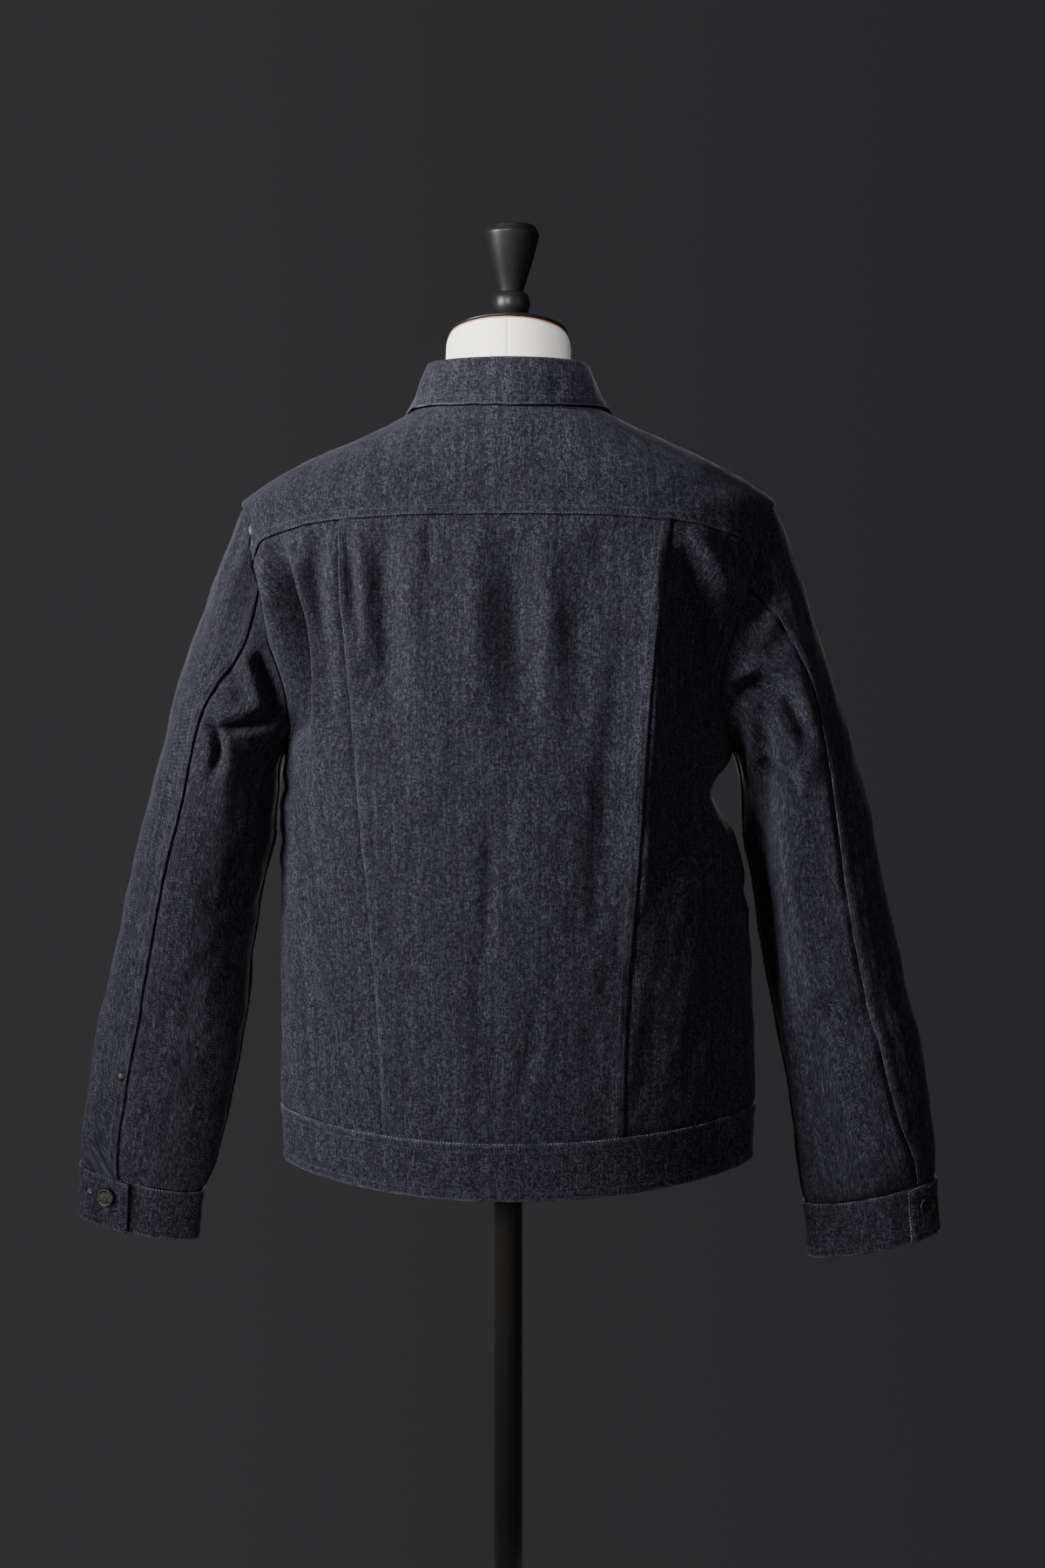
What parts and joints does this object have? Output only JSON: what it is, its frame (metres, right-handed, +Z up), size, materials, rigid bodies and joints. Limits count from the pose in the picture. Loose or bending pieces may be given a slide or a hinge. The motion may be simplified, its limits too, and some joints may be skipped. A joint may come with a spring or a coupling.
{
  "type": "buttoned denim jacket on a limbless dress form with a pole stand",
  "caption": "Raw black-indigo denim jacket, buttoned, on a limbless linen dress form with a black cap, turned finial, pole and round base.",
  "frame": {"origin": "centre of the round base's underside, on the floor under the pole", "axes": "+Z up the pole, -Y out of the jacket's back, +Y out of its front, -X to the wearer's left"},
  "size_m": [0.8061, 0.33, 1.6173],
  "materials": {
    "denim": "matte",
    "button_metal": "satin",
    "form_linen": "matte",
    "form_black": "satin",
    "stand_black": "gloss"
  },
  "bodies": {
    "root": {"back_center": "denim", "back_side_left": "denim", "back_side_right": "denim", "back_yoke": "denim", "collar_fall": "denim", "collar_stand": "denim", "cuff_left": "denim", "cuff_right": "denim", "front_left": "denim", "front_placket": "denim", "front_right": "denim", "sleeve_under_left": "denim", "sleeve_under_right": "denim", "sleeve_upper_left": "denim", "sleeve_upper_right": "denim", "waistband": "denim", "cuff_button_left": "button_metal", "cuff_button_right": "button_metal", "front_button_1": "button_metal", "front_button_2": "button_metal", "front_button_3": "button_metal", "front_button_4": "button_metal", "front_button_5": "button_metal", "front_button_6": "button_metal", "vent_rivet_left": "button_metal", "vent_rivet_right": "button_metal", "form_torso": "form_linen", "form_cap": "form_black", "form_finial": "form_black", "stand_pole": "stand_black", "stand_base": "stand_black"}
  },
  "joints": []
}
